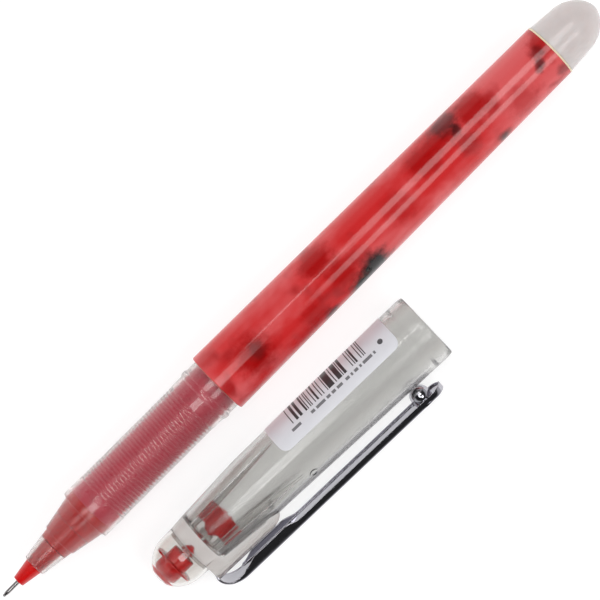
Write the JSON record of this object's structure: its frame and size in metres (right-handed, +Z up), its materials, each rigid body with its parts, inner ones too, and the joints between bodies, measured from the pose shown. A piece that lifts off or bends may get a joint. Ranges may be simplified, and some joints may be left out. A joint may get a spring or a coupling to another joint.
{
  "type": "capped fabric marking pen",
  "caption": "Slim needle-point marking pen for fabric with a screwed ringed grip section, a rounded eraser end and a loose clear cap with a sprung metal clip.",
  "frame": {"origin": "centre of the footprint on the surface that the pen and its cap lie on", "axes": "+X along the pen from its needle tip to its eraser, +Z up from the surface, the cap lies on the -Y side"},
  "size_m": [0.141, 0.034, 0.0129],
  "materials": {
    "barrel_plastic": "cream moulded tube, gloss",
    "print_film": "red marbled print under a clear gloss film",
    "eraser_rubber": "milky translucent rubber, satin",
    "grip_plastic": "frosted translucent plastic, satin",
    "tube_plastic": "translucent tube",
    "ink": "red gel ink",
    "follower_gel": "clear amber grease",
    "white_plastic": "white moulded plastic",
    "red_plastic": "bright red moulded plastic",
    "needle_steel": "drawn stainless tube",
    "spring_steel": "fine wire",
    "carbide": "polished ball",
    "smoke_plastic": "smoky translucent plastic, gloss",
    "clear_plastic": "clear plastic, gloss",
    "silicone": "soft pad",
    "clip_chrome": "polished chrome plate",
    "label": "pale film label, satin"
  },
  "bodies": {
    "barrel": {"barrel_tube": "barrel_plastic", "barrel_print": "print_film", "eraser": "eraser_rubber"},
    "refill": {"refill_tube": "tube_plastic", "ink_column": "ink", "ink_follower": "follower_gel", "tail_plug": "white_plastic", "tip_holder": "red_plastic", "needle_tube": "needle_steel", "ball_spring": "spring_steel"},
    "section": {"front_section": "grip_plastic"},
    "ball": {"tip_ball": "carbide"},
    "cap": {"cap_body": "smoke_plastic", "crown_dome": "clear_plastic", "crown_plug": "red_plastic", "inner_seal": "red_plastic", "seal_pad": "silicone", "clip_tongue": "clip_chrome", "cap_label": "label"},
    "clip": {"clip_arm": "clip_chrome"}
  },
  "joints": [
    {"name": "refill_advance", "type": "slide", "parent": "barrel", "child": "refill", "axis": [-1, 0, 0], "range_m": [0, 0.006]},
    {"name": "section_unscrew", "type": "hinge", "parent": "refill", "child": "section", "pos_m": [-0.0195, 0.01119, 0.00585], "axis": [-1, 0, 0], "range_deg": [0, 902]},
    {"name": "ball_roll", "type": "hinge", "parent": "refill", "child": "ball", "pos_m": [-0.07025, 0.01119, 0.00585], "axis": [0, 1, 0], "continuous": true},
    {"name": "cap_slide", "type": "slide", "parent": "barrel", "child": "cap", "axis": [-1, 0, 0], "range_m": [0, 0.085]},
    {"name": "clip_flex", "type": "hinge", "parent": "cap", "child": "clip", "pos_m": [-0.04283, -0.01201, 0.0031], "axis": [0.0229, 0.3637, -0.9312], "range_deg": [0, 4], "stiffness_Nm_per_rad": 1.4}
  ],
  "couplings": [
    {"joint": "section_unscrew", "follows": "refill_advance", "rad_per_m": 2618}
  ]
}
